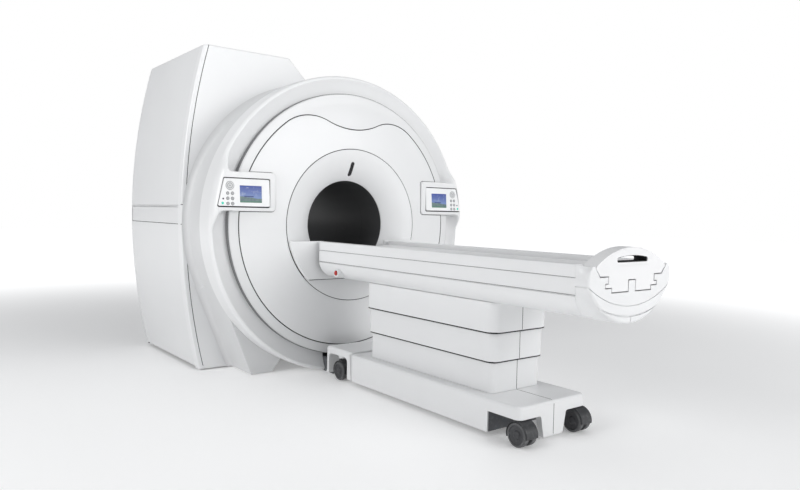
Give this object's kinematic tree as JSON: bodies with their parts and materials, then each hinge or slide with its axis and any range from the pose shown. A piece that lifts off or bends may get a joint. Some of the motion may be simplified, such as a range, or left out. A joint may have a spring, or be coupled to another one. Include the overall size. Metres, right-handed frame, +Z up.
{
  "type": "mri scanner",
  "caption": "Ring-fronted magnet enclosure with a tubular bore and a docked, height-adjustable patient table with a sliding cradle on a wheeled base.",
  "frame": {"origin": "on the floor under the bore's axis, in the plane of the front cover's inner rim, on the docking frame's sole", "axes": "+Z up, +Y along the bore away from the patient table, +X to the right of someone facing the bore"},
  "size_m": [2.001, 3.706, 2.15],
  "materials": {
    "cover_white": "glossy white lacquered enclosure moulding",
    "band_white": "glossy pale trim round the front cover",
    "side_white": "satin white side moulding",
    "bore_grey": "smooth grey patient tube",
    "window_black": "dark tinted aperture",
    "panel_grey": "satin pale keypad plate",
    "screen_blue": "display with a plain blue field",
    "key_white": "satin key cap",
    "vessel_steel": "hidden steel vacuum vessel",
    "coil_resin": "hidden resin-cast coil",
    "stand_steel": "painted steel",
    "table_white": "glossy white table moulding",
    "cradle_white": "smooth white cradle",
    "tier_white": "satin white column cover",
    "stop_red": "red push button",
    "lift_steel": "hidden plain steel lift",
    "caster_grey": "dark caster hood",
    "caster_black": "dark caster wheel"
  },
  "bodies": {
    "gantry": {"badge_band": "band_white", "bore_liner": "bore_grey", "dock_bridge": "cover_white", "dock_frame": "cover_white", "front_cover": "cover_white", "front_funnel": "cover_white", "gantry_ring": "cover_white", "gradient_coil": "coil_resin", "laser_window": "window_black", "lower_panel": "cover_white", "magnet_stand": "stand_steel", "magnet_vessel": "vessel_steel", "neck_shroud": "cover_white", "panel_plate_left": "panel_grey", "panel_plate_right": "panel_grey", "rear_cover": "side_white", "screen_left": "screen_blue", "screen_right": "screen_blue", "service_turret": "vessel_steel", "side_band_left": "side_white", "side_band_right": "side_white", "side_lower_left": "side_white", "side_lower_right": "side_white", "side_upper_left": "side_white", "side_upper_right": "side_white", "tower_front": "cover_white"},
    "table_base": {"base_cover": "table_white", "dock_arm": "table_white", "tier_lower": "tier_white", "lift_barrel": "lift_steel"},
    "column_middle": {"tier_middle": "tier_white"},
    "table": {"table_body": "table_white", "end_cap": "table_white", "tier_upper": "tier_white", "lift_rod": "lift_steel"},
    "cradle": {"cradle": "cradle_white"},
    "key_left_1": {"key_left_1": "key_white"},
    "key_left_2": {"key_left_2": "key_white"},
    "key_left_3": {"key_left_3": "key_white"},
    "key_left_4": {"key_left_4": "key_white"},
    "key_left_5": {"key_left_5": "key_white"},
    "key_left_6": {"key_left_6": "key_white"},
    "key_right_1": {"key_right_1": "key_white"},
    "key_right_2": {"key_right_2": "key_white"},
    "key_right_3": {"key_right_3": "key_white"},
    "key_right_4": {"key_right_4": "key_white"},
    "key_right_5": {"key_right_5": "key_white"},
    "key_right_6": {"key_right_6": "key_white"},
    "pad_left": {"pad_left": "key_white"},
    "pad_right": {"pad_right": "key_white"},
    "stop_button_left": {"stop_button_left": "stop_red"},
    "stop_button_right": {"stop_button_right": "stop_red"},
    "swivel_end_right": {"caster_fork_end_right": "caster_grey"},
    "wheels_end_right": {"caster_wheels_end_right": "caster_black"},
    "swivel_end_left": {"caster_fork_end_left": "caster_grey"},
    "wheels_end_left": {"caster_wheels_end_left": "caster_black"},
    "swivel_dock_right": {"caster_fork_dock_right": "caster_grey"},
    "wheels_dock_right": {"caster_wheels_dock_right": "caster_black"},
    "swivel_dock_left": {"caster_fork_dock_left": "caster_grey"},
    "wheels_dock_left": {"caster_wheels_dock_left": "caster_black"}
  },
  "joints": [
    {"name": "undock", "type": "slide", "parent": "gantry", "child": "table_base", "axis": [0, -1, 0], "range_m": [0, 0.6]},
    {"name": "lift", "type": "slide", "parent": "table_base", "child": "table", "axis": [0, 0, 1], "range_m": [-0.28, 0]},
    {"name": "column_follow", "type": "slide", "parent": "table_base", "child": "column_middle", "axis": [0, 0, 1], "range_m": [-0.14, 0]},
    {"name": "cradle_travel", "type": "slide", "parent": "table", "child": "cradle", "axis": [0, 1, 0], "range_m": [0, 1.6]},
    {"name": "key_left_1_press", "type": "slide", "parent": "gantry", "child": "key_left_1", "axis": [0, 1, 0], "range_m": [0, 0.0015], "stiffness_N_per_m": 500},
    {"name": "key_left_2_press", "type": "slide", "parent": "gantry", "child": "key_left_2", "axis": [0, 1, 0], "range_m": [0, 0.0015], "stiffness_N_per_m": 500},
    {"name": "key_left_3_press", "type": "slide", "parent": "gantry", "child": "key_left_3", "axis": [0, 1, 0], "range_m": [0, 0.0015], "stiffness_N_per_m": 500},
    {"name": "key_left_4_press", "type": "slide", "parent": "gantry", "child": "key_left_4", "axis": [0, 1, 0], "range_m": [0, 0.0015], "stiffness_N_per_m": 500},
    {"name": "key_left_5_press", "type": "slide", "parent": "gantry", "child": "key_left_5", "axis": [0, 1, 0], "range_m": [0, 0.0015], "stiffness_N_per_m": 500},
    {"name": "key_left_6_press", "type": "slide", "parent": "gantry", "child": "key_left_6", "axis": [0, 1, 0], "range_m": [0, 0.0015], "stiffness_N_per_m": 500},
    {"name": "key_right_1_press", "type": "slide", "parent": "gantry", "child": "key_right_1", "axis": [0, 1, 0], "range_m": [0, 0.0015], "stiffness_N_per_m": 500},
    {"name": "key_right_2_press", "type": "slide", "parent": "gantry", "child": "key_right_2", "axis": [0, 1, 0], "range_m": [0, 0.0015], "stiffness_N_per_m": 500},
    {"name": "key_right_3_press", "type": "slide", "parent": "gantry", "child": "key_right_3", "axis": [0, 1, 0], "range_m": [0, 0.0015], "stiffness_N_per_m": 500},
    {"name": "key_right_4_press", "type": "slide", "parent": "gantry", "child": "key_right_4", "axis": [0, 1, 0], "range_m": [0, 0.0015], "stiffness_N_per_m": 500},
    {"name": "key_right_5_press", "type": "slide", "parent": "gantry", "child": "key_right_5", "axis": [0, 1, 0], "range_m": [0, 0.0015], "stiffness_N_per_m": 500},
    {"name": "key_right_6_press", "type": "slide", "parent": "gantry", "child": "key_right_6", "axis": [0, 1, 0], "range_m": [0, 0.0015], "stiffness_N_per_m": 500},
    {"name": "pad_left_press", "type": "slide", "parent": "gantry", "child": "pad_left", "axis": [0, 1, 0], "range_m": [0, 0.0015], "stiffness_N_per_m": 500},
    {"name": "pad_right_press", "type": "slide", "parent": "gantry", "child": "pad_right", "axis": [0, 1, 0], "range_m": [0, 0.0015], "stiffness_N_per_m": 500},
    {"name": "stop_left_press", "type": "slide", "parent": "table", "child": "stop_button_left", "axis": [1, 0, 0], "range_m": [0, 0.004], "stiffness_N_per_m": 600},
    {"name": "stop_right_press", "type": "slide", "parent": "table", "child": "stop_button_right", "axis": [-1, 0, 0], "range_m": [0, 0.004], "stiffness_N_per_m": 600},
    {"name": "swivel_end_right", "type": "hinge", "parent": "table_base", "child": "swivel_end_right", "pos_m": [0.2, -1.71, 0.1], "axis": [0, 0, 1], "continuous": true},
    {"name": "roll_end_right", "type": "hinge", "parent": "swivel_end_right", "child": "wheels_end_right", "pos_m": [0.2, -1.73, 0.058], "axis": [1, 0, 0], "continuous": true},
    {"name": "swivel_end_left", "type": "hinge", "parent": "table_base", "child": "swivel_end_left", "pos_m": [-0.2, -1.71, 0.1], "axis": [0, 0, 1], "continuous": true},
    {"name": "roll_end_left", "type": "hinge", "parent": "swivel_end_left", "child": "wheels_end_left", "pos_m": [-0.2, -1.73, 0.058], "axis": [1, 0, 0], "continuous": true},
    {"name": "swivel_dock_right", "type": "hinge", "parent": "table_base", "child": "swivel_dock_right", "pos_m": [0.2, -0.195, 0.1], "axis": [0, 0, 1], "continuous": true},
    {"name": "roll_dock_right", "type": "hinge", "parent": "swivel_dock_right", "child": "wheels_dock_right", "pos_m": [0.2, -0.215, 0.058], "axis": [1, 0, 0], "continuous": true},
    {"name": "swivel_dock_left", "type": "hinge", "parent": "table_base", "child": "swivel_dock_left", "pos_m": [-0.2, -0.195, 0.1], "axis": [0, 0, 1], "continuous": true},
    {"name": "roll_dock_left", "type": "hinge", "parent": "swivel_dock_left", "child": "wheels_dock_left", "pos_m": [-0.2, -0.215, 0.058], "axis": [1, 0, 0], "continuous": true}
  ],
  "couplings": [
    {"joint": "column_follow", "follows": "lift", "ratio": 0.5}
  ]
}
